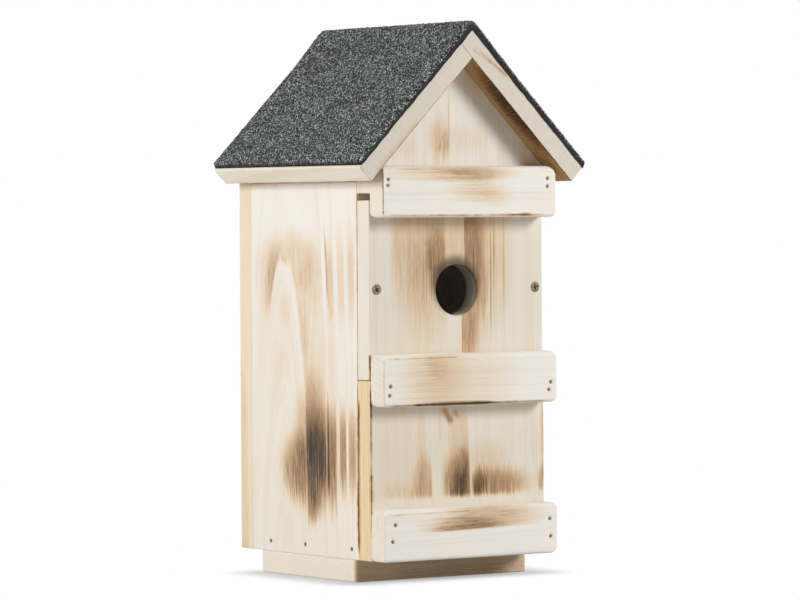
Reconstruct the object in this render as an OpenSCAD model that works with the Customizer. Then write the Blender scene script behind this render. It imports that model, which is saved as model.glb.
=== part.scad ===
// Bird nest box of whitewashed, scorched pine, with a front panel that slides out sideways for cleaning.
// The fronts of the box face -Y, +Z is up, and the origin is under the middle of the box, on the ground.
// All sizes are in millimetres.

/* [Box] */
// Width across the front of the box
box_w = 133; // [120:1:180]
// Width of each side board, from front to back
side_w = 120; // [110:1:180]
// Height of a side board at its outer face
side_h = 244.5; // [240:0.5:320]
// Thickness of the wall boards and of the floor
board_t = 14; // [12:0.5:18]

/* [Base plate] */
// Thickness of the base plate
base_t = 14; // [10:0.5:25]
// Length of the base plate from front to back
base_l = 106; // [90:1:109]
// Step in from the sides of the box to the base plate
base_side_step = 1; // [0:0.5:5]
// Step back from the side boards' front edges to the base plate
base_front_step = 5; // [0:0.5:10]

/* [Front] */
// Height of the fixed lower front panel
lower_front_h = 111.5; // [100:0.5:130]
// Height of the front panel that slides out
front_panel_h = 111; // [105:0.5:118]
// Thickness of the front panel that slides out
front_panel_t = 12.7; // [10:0.1:13]
// Air gap between the front panel and the gable board
vent_gap = 4.3; // [3:0.1:8]
// Running clearance behind and under the front panel
slide_gap = 0.3; // [0.2:0.05:0.5]

/* [Entrance] */
// Diameter of the entrance hole
hole_d = 32; // [26:1:45]
// Height of the hole's centre above the front panel's bottom edge
hole_up = 55; // [45:1:65]

/* [Slats] */
// Thickness of the three slats
slat_t = 14; // [10:0.5:16]
// Height of the three slats
slat_h = 32; // [28:0.5:36]
// Reach of the upper slat below the gable board
upper_slat_drop = 15; // [10:0.5:18]
// Reach of the middle slat below the top of the lower front panel
middle_slat_drop = 16; // [13:0.5:20]
// Radius of the slats' long edges
slat_edge_r = 2; // [1:0.25:4]
// Radius of the slats' corners, seen from the front
slat_corner_r = 4; // [2:0.5:8]

/* [Roof] */
// Thickness of the roof boards
roof_t = 12.5; // [10:0.5:18]
// Length of the roof's slope, from the ridge to the eave
slope_l = 121; // [110:1:160]
// Reach of the roof in front of the front panels
roof_front = 17; // [16:1:60]
// Thickness of the roofing felt
felt_t = 3.5; // [1.5:0.5:5]
// Reach of the felt past the roof boards at the eaves
felt_over = 1; // [0:0.5:5]

/* [Nails] */
// Diameter of the nails
nail_d = 1.8; // [1.2:0.1:2.5]
// Diameter of the nails' small heads
nail_head_d = 2.8; // [2.6:0.1:4]
// Height of the nails' heads
nail_head_h = 1.2; // [0.8:0.1:2]
// Length of the nails
nail_l = 40; // [36:1:45]
// Height of the floor nails above the side boards' bottom edges
floor_nail_up = 6.5; // [5:0.5:9]
// Distance of the first floor nail behind the side board's front edge
floor_nail_front = 8; // [5:0.5:20]
// Distance of the middle floor nail behind the side board's front edge
floor_nail_middle = 60; // [40:0.5:80]
// Distance of the last floor nail from the side board's back edge
floor_nail_back = 20.5; // [5:0.5:30]
// Distance of the back panel's nails from its edges
back_nail_in = 7; // [5:0.5:8]
// Height of the back panel's low nails above its bottom edge
back_nail_low = 40; // [25:1:60]
// Height of the back panel's middle nails above its bottom edge
back_nail_middle = 125; // [90:1:160]
// Height of the back panel's high nails above its bottom edge
back_nail_high = 195; // [175:1:225]
// Spacing of the back panel's nails into the floor
back_floor_nail_x = 36; // [20:1:60]
// Distance of the outer roof nails from the eave
roof_nail_in = 31; // [28:1:40]
// Distance of the inner roof nails from the ridge
roof_nail_ridge = 48; // [46:1:56]
// Distance of the end ridge nails from the ends of the roof
ridge_nail_in = 24; // [20:1:30]

/* [Screws] */
// Diameter of the screws' shanks
screw_d = 3.5; // [3:0.1:4]
// Diameter of the screws' countersunk heads
screw_head_d = 6.6; // [6:0.1:8]
// Clearance round the screws that come out
screw_gap = 0.1; // [0.05:0.05:0.2]
// Distance of the panel screws from the panel's edges
panel_screw_in = 5.6; // [5:0.1:7]
// Height of the panel screws above the front panel's bottom edge
panel_screw_up = 56; // [35:1:75]
// Diameter of the pilot holes for the panel screws
pilot_d = 2.8; // [2:0.1:3]
// Depth of the pilot holes for the panel screws
pilot_l = 17; // [10:1:25]
// Length of the base plate's screws
base_screw_l = 24; // [18:1:26]
// Distance of the base plate's screws from its edges
base_screw_in = 20; // [14:1:25]

/* [Hanger] */
// Width of the hanger plate
hanger_w = 22; // [19:1:30]
// Height of the hanger plate
hanger_h = 62; // [58:1:80]
// Thickness of the hanger plate
hanger_t = 1.5; // [1:0.1:2]
// Height of the hanger plate's middle above the back panel's bottom edge
hanger_up = 218; // [180:1:225]
// Diameter of the keyhole's round opening
key_d = 10; // [8:0.5:11]
// Width of the keyhole's slot
key_slot_w = 5; // [3.5:0.5:5.5]
// Height of the keyhole's slot above the round opening's centre
key_slot_l = 14; // [10:0.5:16]
// Depth of the pocket for a wall screw's head, behind the plate
pocket_l = 7; // [4:0.5:8]
// Clearance round a wall screw's head in the pocket
pocket_gap = 1.5; // [1:0.5:3]
// Length of the hanger plate's screws
hanger_screw_l = 11; // [8:1:11]
// Distance of the hanger plate's screws from its ends
hanger_screw_in = 7; // [6:0.5:8]

/* [Hidden] */
$fn = 48;

// Left and right sides of the box.
LEFT = -1;
RIGHT = 1;

// The roof boards meet square at the ridge, so each slopes at half a right angle.
roof_slope = 45;

// Nails of each slat as [distance from the slat's end, height above the slat's bottom edge].
upper_left_nails = [[4.5, 23.5], [4.3, 19.8]];
upper_right_nails = [[6.5, 24.3], [6.6, 19.2]];
middle_left_nails = [[5.4, 12.8], [4.7, 7.2]];
middle_right_nails = [[4.7, 12.6], [6.2, 7.8]];
lower_left_nails = [[8.4, 23], [6.3, 12.8]];
lower_right_nails = [[6, 22], [5.3, 10.8]];
// Floor nails as distances behind the side board's front edge.
floor_nails = [floor_nail_front, floor_nail_middle, side_w - floor_nail_back];
// Nails down each edge of the back panel, above its bottom edge.
back_nails = [back_nail_low, back_nail_middle, back_nail_high];

// Heights of the boards' edges.
wall_z = base_t;
lower_top_z = wall_z + lower_front_h;
panel_z = lower_top_z + slide_gap;
gable_z = panel_z + front_panel_h + vent_gap;
side_top_z = wall_z + side_h;
under_ridge_z = side_top_z + box_w / 2 * tan(roof_slope);
ridge_z = under_ridge_z + roof_t / cos(roof_slope);
upper_slat_z = gable_z - upper_slat_drop;
middle_slat_z = lower_top_z - middle_slat_drop;
lower_slat_z = wall_z;

// Places from front to back.
box_d = side_w + 2 * board_t;
front_y = (roof_front - box_d) / 2;
side_y = front_y + board_t;
back_in_y = side_y + side_w;
back_y = front_y + box_d;
panel_y = side_y - slide_gap - front_panel_t;
roof_y = front_y - roof_front;
roof_l = roof_front + box_d;

// Places from side to side.
inner_w = box_w - 2 * board_t;
base_w = box_w - 2 * base_side_step;
screw_x = box_w / 2 - panel_screw_in;
screw_z = panel_z + panel_screw_up;

// A screw's cone from its head to its shank, at half a right angle.
screw_head_h = (screw_head_d - screw_d) / 2;
// The drawn panel screws end inside the panel, which leaves it free to slide.
panel_screw_l = front_panel_t - slide_gap;
// Cross recess in the screws' heads.
cross_w = 0.9;
cross_l = 3.8;
cross_h = 1.3;
// Extra length of a cut past the face that it opens.
cut = 1;

back_wood = "#d9c39a";
side_wood = "#dccfb8";
front_wood = "#d6c8b2";
slat_wood = "#d8cbb8";
roof_wood = "#cdc1b1";
inner_wood = "#c9ab7c";
felt_grey = "#3a434b";
nail_steel = "#4a4a4a";
screw_steel = "#8d8a84";
plate_steel = "#a9adb0";

// Rectangle with rounded corners, centred on the origin.
module rounded_rectangle(w, h, r) {
    square([w - 2 * r, h], center = true);
    square([w, h - 2 * r], center = true);
    for (sx = [LEFT, RIGHT], sz = [-1, 1])
        translate([sx * (w / 2 - r), sz * (h / 2 - r)]) circle(r);
}

// Plate drawn in the X-Z plane and given a thickness from y to y + t.
module upright_plate(y, t) {
    translate([0, y + t, 0]) rotate([90, 0, 0]) linear_extrude(t) children();
}

// Outline of a gabled wall from height z up to the underside of the roof.
module gable_outline(z) {
    polygon([
        [-box_w / 2, z], [box_w / 2, z], [box_w / 2, side_top_z],
        [0, under_ridge_z], [-box_w / 2, side_top_z]
    ]);
}

// Nail with its head's top at the origin and its point along +Z. A cut reaches past the head's top.
module nail(past = 0) {
    cylinder(d = nail_d, h = nail_l);
    translate([0, 0, -past]) cylinder(d = nail_head_d, h = nail_head_h + past);
}

// Countersunk screw with its head's top at the origin and its point along +Z.
module screw(length) {
    difference() {
        rotate_extrude()
            polygon([
                [0, 0], [screw_head_d / 2, 0], [screw_d / 2, screw_head_h], [screw_d / 2, length], [0, length]
            ]);
        for (turn = [0, 90])
            rotate([0, 0, turn]) cube([cross_l, cross_w, 2 * cross_h], center = true);
    }
}

// Hole for such a screw, open past its head's top.
module screw_hole(length, gap = 0) {
    rotate_extrude()
        polygon([
            [0, -cut], [screw_head_d / 2 + gap, -cut], [screw_head_d / 2 + gap, 0],
            [screw_d / 2 + gap, screw_head_h], [screw_d / 2 + gap, length], [0, length]
        ]);
}

// Nails through one slat and the panel behind it, into the side boards' front edges.
module slat_nails(left_nails, right_nails, slat_z, past) {
    for (n = left_nails)
        translate([-box_w / 2 + n[0], front_y - slat_t, slat_z + n[1]]) rotate([-90, 0, 0]) nail(past);
    for (n = right_nails)
        translate([box_w / 2 - n[0], front_y - slat_t, slat_z + n[1]]) rotate([-90, 0, 0]) nail(past);
}

module upper_nails(past = 0) slat_nails(upper_left_nails, upper_right_nails, upper_slat_z, past);
module middle_nails(past = 0) slat_nails(middle_left_nails, middle_right_nails, middle_slat_z, past);
module lower_nails(past = 0) slat_nails(lower_left_nails, lower_right_nails, lower_slat_z, past);

// Nails through one side board into the floor's edge.
module floor_nail_row(side, past = 0) {
    for (y = floor_nails)
        translate([side * box_w / 2, side_y + y, wall_z + floor_nail_up])
            rotate([0, -side * 90, 0]) nail(past);
}

// Nails through the back panel into the side boards and the floor.
module back_nail_set(past = 0) {
    for (side = [LEFT, RIGHT], z = back_nails)
        translate([side * (box_w / 2 - back_nail_in), back_y, wall_z + z]) rotate([90, 0, 0]) nail(past);
    for (side = [LEFT, RIGHT])
        translate([side * back_floor_nail_x / 2, back_y, wall_z + board_t / 2]) rotate([90, 0, 0]) nail(past);
}

// Moves to the ridge's line, with X down the slope of one side and Z out of it.
module on_slope(side) {
    translate([0, 0, ridge_z]) mirror([side == LEFT ? 1 : 0, 0, 0]) rotate([0, roof_slope, 0]) children();
}

// Nails through one roof board into the gable board and the back panel.
module roof_nail_set(side, past = 0) {
    for (x = [roof_nail_ridge, slope_l - roof_nail_in], y = [front_y + board_t / 2, back_y - board_t / 2])
        on_slope(side) translate([x, y, 0]) rotate([180, 0, 0]) nail(past);
}

// Nails through the right roof board into the end of the left one.
module ridge_nail_set(past = 0) {
    for (y = [roof_y + ridge_nail_in, roof_y + roof_l / 2, roof_y + roof_l - ridge_nail_in])
        on_slope(RIGHT) translate([roof_t / 2, y, 0]) rotate([180, 0, 0]) nail(past);
}

module base_screw_places() {
    for (sx = [LEFT, RIGHT], y = [base_screw_in, base_l - base_screw_in])
        translate([sx * (base_w / 2 - base_screw_in), side_y + base_front_step + y, 0]) children();
}

// Moves to the hanger plate's middle on the back panel's face, with Z pointing into the panel.
module at_hanger() {
    translate([0, back_y, wall_z + hanger_up]) rotate([90, 0, 0]) children();
}

module hanger_screw_places() {
    for (sy = [-1, 1]) translate([0, sy * (hanger_h / 2 - hanger_screw_in), 0]) children();
}

// Keyhole outline, drawn larger by a gap for the pocket behind the plate.
module keyhole(round_d, slot_w) {
    translate([0, -key_slot_l / 2]) circle(d = round_d);
    translate([0, key_slot_l / 2]) circle(d = slot_w);
    square([slot_w, key_slot_l], center = true);
}

module back_panel() {
    color(back_wood) difference() {
        upright_plate(back_in_y, board_t) gable_outline(wall_z);
        back_nail_set(cut);
        for (side = [LEFT, RIGHT]) roof_nail_set(side);
        at_hanger() {
            translate([0, 0, -cut])
                linear_extrude(hanger_t + cut) rounded_rectangle(hanger_w, hanger_h, hanger_w / 4);
            linear_extrude(hanger_t + pocket_l) keyhole(key_d + 2 * pocket_gap, key_d + 2 * pocket_gap);
            hanger_screw_places() screw_hole(hanger_screw_l);
        }
    }
}

// Side board on the left or right, bevelled at its top to carry the roof.
module side_board(side) {
    difference() {
        mirror([side == RIGHT ? 1 : 0, 0, 0])
            upright_plate(side_y, side_w)
                polygon([
                    [-box_w / 2, wall_z], [-box_w / 2 + board_t, wall_z],
                    [-box_w / 2 + board_t, side_top_z + board_t * tan(roof_slope)], [-box_w / 2, side_top_z]
                ]);
        floor_nail_row(side, cut);
        back_nail_set();
        upper_nails();
        middle_nails();
        lower_nails();
        translate([side * screw_x, side_y - cut, screw_z])
            rotate([-90, 0, 0]) cylinder(d = pilot_d, h = pilot_l + cut);
    }
}

module left_side_panel() {
    color(side_wood) side_board(LEFT);
}

module right_side_panel() {
    color(side_wood) side_board(RIGHT);
}

module floor_board() {
    color(inner_wood) difference() {
        translate([-inner_w / 2, side_y, wall_z]) cube([inner_w, side_w, board_t]);
        for (side = [LEFT, RIGHT]) floor_nail_row(side);
        back_nail_set();
        base_screw_places() screw_hole(base_screw_l);
    }
}

module base_plate() {
    color(inner_wood) difference() {
        translate([-base_w / 2, side_y + base_front_step, 0]) cube([base_w, base_l, base_t]);
        base_screw_places() screw_hole(base_screw_l);
    }
}

module gable_board() {
    color(front_wood) difference() {
        upright_plate(front_y, board_t) gable_outline(gable_z);
        upper_nails();
        for (side = [LEFT, RIGHT]) roof_nail_set(side);
    }
}

module front_panel() {
    color(front_wood) difference() {
        translate([-box_w / 2, panel_y, panel_z]) cube([box_w, front_panel_t, front_panel_h]);
        translate([0, panel_y - cut, panel_z + hole_up])
            rotate([-90, 0, 0]) cylinder(d = hole_d, h = front_panel_t + 2 * cut);
        for (side = [LEFT, RIGHT])
            translate([side * screw_x, panel_y, screw_z])
                rotate([-90, 0, 0]) screw_hole(front_panel_t + cut, screw_gap);
    }
}

module lower_front_panel() {
    color(front_wood) difference() {
        translate([-box_w / 2, front_y, wall_z]) cube([box_w, board_t, lower_front_h]);
        middle_nails();
        lower_nails();
    }
}

// Slat as long as the box is wide, with rounded long edges and corners.
module slat(z) {
    translate([0, front_y - slat_t / 2, z + slat_h / 2])
        intersection() {
            rotate([90, 0, 0]) linear_extrude(slat_t, center = true)
                rounded_rectangle(box_w, slat_h, slat_corner_r);
            rotate([90, 0, 90]) linear_extrude(box_w, center = true)
                rounded_rectangle(slat_t, slat_h, slat_edge_r);
        }
}

module upper_slat() {
    color(slat_wood) difference() {
        slat(upper_slat_z);
        upper_nails(cut);
    }
}

module middle_slat() {
    color(slat_wood) difference() {
        slat(middle_slat_z);
        middle_nails(cut);
    }
}

module lower_slat() {
    color(slat_wood) difference() {
        slat(lower_slat_z);
        lower_nails(cut);
    }
}

// The left board's upper end butts on the underside of the right board.
module left_roof_board() {
    color(roof_wood) difference() {
        on_slope(LEFT) translate([roof_t, roof_y, -roof_t]) cube([slope_l - roof_t, roof_l, roof_t]);
        roof_nail_set(LEFT, cut);
        ridge_nail_set();
    }
}

module right_roof_board() {
    color(roof_wood) difference() {
        on_slope(RIGHT) translate([0, roof_y, -roof_t]) cube([slope_l, roof_l, roof_t]);
        roof_nail_set(RIGHT, cut);
        ridge_nail_set(cut);
    }
}

// One sheet of felt folded over the ridge, with its outline drawn from the ridge line.
module roofing_felt() {
    eave = (slope_l + felt_over) * cos(roof_slope);
    rise = felt_t * cos(roof_slope);
    fold = [for (turn = [45 : -15 : -45]) felt_t * [sin(turn), cos(turn)]];
    color(felt_grey) translate([0, 0, ridge_z]) upright_plate(roof_y, roof_l)
        polygon(concat(
            [[-eave, -eave], [0, 0], [eave, -eave], [eave + rise, rise - eave]],
            fold,
            [[-eave - rise, rise - eave]]
        ));
}

// Screw that holds one edge of the front panel to the side board behind it.
module panel_screw(side) {
    translate([side * screw_x, panel_y, screw_z]) rotate([-90, 0, 0]) screw(panel_screw_l);
}

module left_panel_screw() {
    color(screw_steel) panel_screw(LEFT);
}

module right_panel_screw() {
    color(screw_steel) panel_screw(RIGHT);
}

module upper_slat_nails() {
    color(nail_steel) upper_nails();
}

module middle_slat_nails() {
    color(nail_steel) middle_nails();
}

module lower_slat_nails() {
    color(nail_steel) lower_nails();
}

module left_floor_nails() {
    color(nail_steel) floor_nail_row(LEFT);
}

module right_floor_nails() {
    color(nail_steel) floor_nail_row(RIGHT);
}

module back_panel_nails() {
    color(nail_steel) back_nail_set();
}

module left_roof_nails() {
    color(nail_steel) roof_nail_set(LEFT);
}

module right_roof_nails() {
    color(nail_steel) roof_nail_set(RIGHT);
}

module ridge_nails() {
    color(nail_steel) ridge_nail_set();
}

module base_plate_screws() {
    color(screw_steel) base_screw_places() screw(base_screw_l);
}

module hanger_plate() {
    color(plate_steel) at_hanger() difference() {
        linear_extrude(hanger_t) difference() {
            rounded_rectangle(hanger_w, hanger_h, hanger_w / 4);
            keyhole(key_d, key_slot_w);
        }
        hanger_screw_places() screw_hole(hanger_screw_l);
    }
}

module hanger_screws() {
    color(screw_steel) at_hanger() hanger_screw_places() screw(hanger_screw_l);
}

back_panel();
left_side_panel();
right_side_panel();
floor_board();
base_plate();
gable_board();
front_panel();
lower_front_panel();
upper_slat();
middle_slat();
lower_slat();
left_roof_board();
right_roof_board();
roofing_felt();
left_panel_screw();
right_panel_screw();
upper_slat_nails();
middle_slat_nails();
lower_slat_nails();
left_floor_nails();
right_floor_nails();
back_panel_nails();
left_roof_nails();
right_roof_nails();
ridge_nails();
base_plate_screws();
hanger_plate();
hanger_screws();
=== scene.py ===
import math
from collections import namedtuple

import bpy
import numpy as np
from mathutils import Matrix, Vector, kdtree, noise
from mathutils.geometry import delaunay_2d_cdt


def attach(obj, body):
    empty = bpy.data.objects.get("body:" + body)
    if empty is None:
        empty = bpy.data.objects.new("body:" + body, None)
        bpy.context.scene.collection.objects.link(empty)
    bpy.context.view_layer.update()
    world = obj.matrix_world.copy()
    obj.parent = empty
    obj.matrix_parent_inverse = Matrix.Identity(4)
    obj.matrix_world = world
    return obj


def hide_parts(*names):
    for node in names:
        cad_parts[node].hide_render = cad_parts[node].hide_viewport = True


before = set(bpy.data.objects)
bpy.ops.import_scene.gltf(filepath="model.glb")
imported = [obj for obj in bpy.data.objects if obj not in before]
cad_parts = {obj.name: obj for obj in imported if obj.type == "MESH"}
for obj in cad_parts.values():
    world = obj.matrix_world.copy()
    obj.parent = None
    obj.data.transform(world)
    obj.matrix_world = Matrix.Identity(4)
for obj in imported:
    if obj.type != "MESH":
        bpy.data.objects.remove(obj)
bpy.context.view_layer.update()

# Camera, lamps and floor.
# The camera stands where the photograph was taken from, low on the box's left. The box stands on pale
# paper in soft light.
CAMERA_PLACE = (-1.5426, -2.2115, 0.22425)
CAMERA_TURN, CAMERA_PITCH, CAMERA_ROLL = (math.radians(a) for a in (-34.9264, 1.0756, -0.3327))
CAMERA_LENS, CAMERA_SENSOR = 190.4, 36.0

camera_data = bpy.data.cameras.new("camera")
camera_data.sensor_width = CAMERA_SENSOR
camera_data.lens = CAMERA_LENS
camera = bpy.data.objects.new("camera", camera_data)
forward = Vector((-math.sin(CAMERA_TURN) * math.cos(CAMERA_PITCH),
                  math.cos(CAMERA_TURN) * math.cos(CAMERA_PITCH), -math.sin(CAMERA_PITCH)))
level = Vector((math.cos(CAMERA_TURN), math.sin(CAMERA_TURN), 0.0))
upright = level.cross(forward)
camera_right = math.cos(CAMERA_ROLL) * level + math.sin(CAMERA_ROLL) * upright
camera_up = math.cos(CAMERA_ROLL) * upright - math.sin(CAMERA_ROLL) * level
camera.matrix_world = (Matrix.Translation(CAMERA_PLACE)
                       @ Matrix((camera_right, camera_up, -forward)).transposed().to_4x4())
bpy.context.scene.collection.objects.link(camera)
bpy.context.scene.camera = camera
bpy.context.scene.view_settings.view_transform = "Standard"


def lamp(name, place, aim, size, watts):
    """Large square area lamp that looks from its place to its aim."""
    data = bpy.data.lights.new(name, "AREA")
    data.size = size
    data.energy = watts
    made = bpy.data.objects.new(name, data)
    made.location = place
    made.rotation_euler = (Vector(aim) - Vector(place)).to_track_quat("-Z", "Y").to_euler()
    bpy.context.scene.collection.objects.link(made)


lamp("left_softbox", (-2.3, 0.1, 0.75), (0.0, 0.0, 0.2), 1.2, 38.5)
lamp("right_softbox", (1.25, -1.7, 1.05), (0.0, 0.0, 0.16), 0.8, 35.0)
lamp("back_softbox", (0.9, 2.3, 0.9), (0.0, 0.0, 0.18), 1.2, 20.0)


class Graph:
    """Shader nodes of a material or a world. Each value is a number, a vector or another node's output."""

    def __init__(self, owner):
        owner.use_nodes = True
        self.tree = owner.node_tree
        self.tree.nodes.clear()

    def set(self, socket, value):
        if isinstance(value, bpy.types.NodeSocket):
            self.tree.links.new(value, socket)
        else:
            socket.default_value = value

    def add(self, kind, inputs=None, **settings):
        """New node with its settings and the values of its named inputs."""
        made = self.tree.nodes.new("ShaderNode" + kind)
        for key, value in settings.items():
            setattr(made, key, value)
        for key, value in (inputs or {}).items():
            self.set(made.inputs[key], value)
        return made

    def calc(self, operation, *values):
        return self.add("Math", dict(enumerate(values)), operation=operation).outputs[0]

    def plus(self, first, *others):
        for value in others:
            first = self.calc("ADD", first, value)
        return first

    def times(self, first, *others):
        for value in others:
            first = self.calc("MULTIPLY", first, value)
        return first

    def minus(self, first, second):
        return self.calc("SUBTRACT", first, second)

    def scaled(self, value, factor, more):
        return self.calc("MULTIPLY_ADD", value, factor, more)

    def swing(self, value, amount):
        """A value from nought to one, centred on nought and scaled."""
        return self.scaled(value, amount, -amount / 2)

    def clamped(self, value):
        return self.add("Clamp", {"Value": value}).outputs[0]

    def span(self, value, low, high):
        """Rises smoothly from nought at low to one at high, or falls where low is the larger."""
        return self.add("MapRange", {"Value": value, "From Min": low, "From Max": high},
                        interpolation_type="SMOOTHSTEP").outputs[0]

    def combined(self, *values):
        return self.add("CombineXYZ", dict(enumerate(values))).outputs[0]

    def vector(self, operation, first, second=None):
        """A dot product, a length and a distance give a number, and the other operations a vector."""
        made = self.add("VectorMath", {0: first}, operation=operation)
        if second is not None:
            self.set(made.inputs["Scale" if operation == "SCALE" else 1], second)
        return made.outputs["Value" if operation in ("DOT_PRODUCT", "LENGTH", "DISTANCE") else "Vector"]

    def blend(self, factor, first, second, mode="MIX"):
        """Mix of two colours. Blender's mix node has them on its seventh and eighth sockets."""
        made = self.add("Mix", data_type="RGBA", blend_type=mode)
        for index, value in ((0, factor), (6, first), (7, second)):
            self.set(made.inputs[index], (*value, 1) if isinstance(value, tuple) else value)
        return made.outputs[2]

    def ramp(self, value, first, last, between):
        """Colour from first to last as the value goes from nought to one, by way of (value, colour) stops."""
        made = self.add("ValToRGB", {"Fac": value})
        stops = made.color_ramp.elements
        stops[0].color, stops[1].color = (*first, 1), (*last, 1)
        for position, shade in between:
            stops.new(position).color = (*shade, 1)
        return made.outputs["Color"]

    def surface(self, colour, roughness, height, strength, distance, specular=0.5, metallic=0.0):
        """Ends a material: a coloured surface with fine relief."""
        bump = self.add("Bump", {"Height": height, "Strength": strength, "Distance": distance})
        shader = self.add("BsdfPrincipled", {
            "Base Color": colour, "Roughness": roughness, "Metallic": metallic,
            "Specular IOR Level": specular, "Normal": bump.outputs[0]})
        self.add("OutputMaterial", {"Surface": shader.outputs[0]})

    def seen_directly(self):
        """One for rays from the camera and for mirror and glass rays, and nought for the rest."""
        rays = self.add("LightPath").outputs
        reflected = self.calc("MAXIMUM", rays["Is Camera Ray"], rays["Is Glossy Ray"])
        return self.calc("MAXIMUM", reflected, rays["Is Transmission Ray"])


world = bpy.data.worlds.new("studio")
bpy.context.scene.world = world
nodes = Graph(world)
room = nodes.add("Background", {"Color": (1.0, 0.93, 0.84, 1.0), "Strength": 0.16})
white = nodes.add("Background", {"Color": (1.0, 1.0, 1.0, 1.0), "Strength": 1.0})
sky = nodes.add("MixShader", {0: nodes.seen_directly(), 1: room.outputs[0], 2: white.outputs[0]})
nodes.add("OutputWorld", {"Surface": sky.outputs[0]})

# The paper shows a soft shadow round the box's foot and fades to plain white over a short way.
FOOT, FADE, FLOOR_DROP = (0.066, 0.05, 0.0), 0.035, 0.0002
floor_paper = bpy.data.materials.new("floor_paper")
nodes = Graph(floor_paper)
paper = nodes.add("BsdfDiffuse", {"Color": (0.66, 0.66, 0.66, 1.0)})
glow = nodes.add("Emission", {"Color": (1.0, 1.0, 1.0, 1.0), "Strength": 1.0})
past_foot = nodes.vector("SUBTRACT", nodes.vector("ABSOLUTE", nodes.add("TexCoord").outputs["Object"]), FOOT)
past_foot = nodes.vector("LENGTH", nodes.vector("MAXIMUM", past_foot, (0.0, 0.0, 0.0)))
shadowless = nodes.scaled(nodes.span(past_foot, 0.0, FADE), 0.65, 0.35)
lift = nodes.add("MixShader", {0: nodes.times(nodes.seen_directly(), shadowless),
                               1: paper.outputs[0], 2: glow.outputs[0]})
nodes.add("OutputMaterial", {"Surface": lift.outputs[0]})

floor_mesh = bpy.data.meshes.new("floor")
floor_mesh.from_pydata([(-6, -6, 0), (6, -6, 0), (6, 6, 0), (-6, 6, 0)], [], [(0, 1, 2, 3)])
floor_mesh.materials.append(floor_paper)
floor = bpy.data.objects.new("floor", floor_mesh)
floor.location.z = -FLOOR_DROP
bpy.context.scene.collection.objects.link(floor)

# Side boards.
# Two upright pine boards, planed, whitewashed and scorched with a torch. Their tops are sawn to the roof's
# slope. Each has a pilot hole for a panel screw in its front edge and three nails into the floor.
X, Y, Z = (1.0, 0.0, 0.0), (0.0, 1.0, 0.0), (0.0, 0.0, 1.0)
INTO_BACK = (0.0, -1.0, 0.0)
HALF_W, SIDE_Y, SIDE_W, BOARD = 66.5, -51.5, 120.0, 14.0
WALL_Z, SIDE_TOP = 14.0, 258.5
SCREW_X, SCREW_Z, PILOT_R, PILOT_L = 60.9, 181.8, 1.4, 17.0
FLOOR_NAILS = ((-43.5, 20.5), (8.5, 20.5), (48.0, 20.5))
NAIL_DENT = (2.2, 0.7)


def outline(corners, radius=0.8, step=3.0):
    """Closed loop through the corners, anticlockwise, with rounded corners and sides cut into short steps."""
    corners = [np.array(c, float) for c in corners]
    count = len(corners)
    radii = np.broadcast_to(radius, count)
    arcs = []
    for i in range(count):
        before, here, after = corners[i - 1], corners[i], corners[(i + 1) % count]
        into, out = here - before, after - here
        into, out = into / np.linalg.norm(into), out / np.linalg.norm(out)
        turn = math.atan2(into[0] * out[1] - into[1] * out[0], into @ out)
        start = here - into * radii[i] * math.tan(abs(turn) / 2)
        centre = start + math.copysign(radii[i], turn) * np.array([-into[1], into[0]])
        arm = start - centre
        parts = max(2, round(abs(turn) / math.radians(25)))
        angles = np.arange(parts + 1) * turn / parts
        arcs.append([centre + [math.cos(a) * arm[0] - math.sin(a) * arm[1],
                               math.sin(a) * arm[0] + math.cos(a) * arm[1]] for a in angles])
    loop = []
    for i, arc in enumerate(arcs):
        loop += arc
        a, b = arc[-1], arcs[(i + 1) % count][0]
        parts = max(1, round(np.linalg.norm(b - a) / step))
        loop += [a + (b - a) * k / parts for k in range(1, parts)]
    return np.array(loop)


def rectangle(x0, y0, x1, y1, radius=0.8):
    return outline([(x0, y0), (x1, y0), (x1, y1), (x0, y1)], radius)


def circle(centre, radius, count=24):
    turns = np.arange(count) * 2 * math.pi / count
    return np.array(centre) + radius * np.stack([np.cos(turns), np.sin(turns)], 1)


def inset(loop, gap):
    """The loop moved inwards by a gap, which may differ from point to point."""
    side = np.roll(loop, -1, 0) - loop
    side /= np.linalg.norm(side, axis=1)[:, None]
    normal = np.stack([-side[:, 1], side[:, 0]], 1)
    before = np.roll(normal, 1, 0)
    mitre = (normal + before) / (1 + (normal * before).sum(1))[:, None]
    return loop + mitre * np.broadcast_to(gap, len(loop))[:, None]


def inside(points, loop):
    """Which points lie inside the loop."""
    x, y = points[:, :1], points[:, 1:]
    ax, ay = loop[:, 0], loop[:, 1]
    bx, by = np.roll(ax, -1), np.roll(ay, -1)
    crosses = (ay > y) != (by > y)
    with np.errstate(divide="ignore", invalid="ignore"):
        where = (bx - ax) * (y - ay) / (by - ay) + ax
    return (crosses & (x < where)).sum(1) % 2 == 1


def between(points, loops):
    """Which points lie inside the first loop and outside the others."""
    kept = inside(points, loops[0])
    for loop in loops[1:]:
        kept &= ~inside(points, loop)
    return kept


def finder_of(places):
    """Search tree over places in a plane."""
    finder = kdtree.KDTree(len(places))
    for i, (x, y) in enumerate(places):
        finder.insert((x, y, 0.0), i)
    finder.balance()
    return finder


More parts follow.
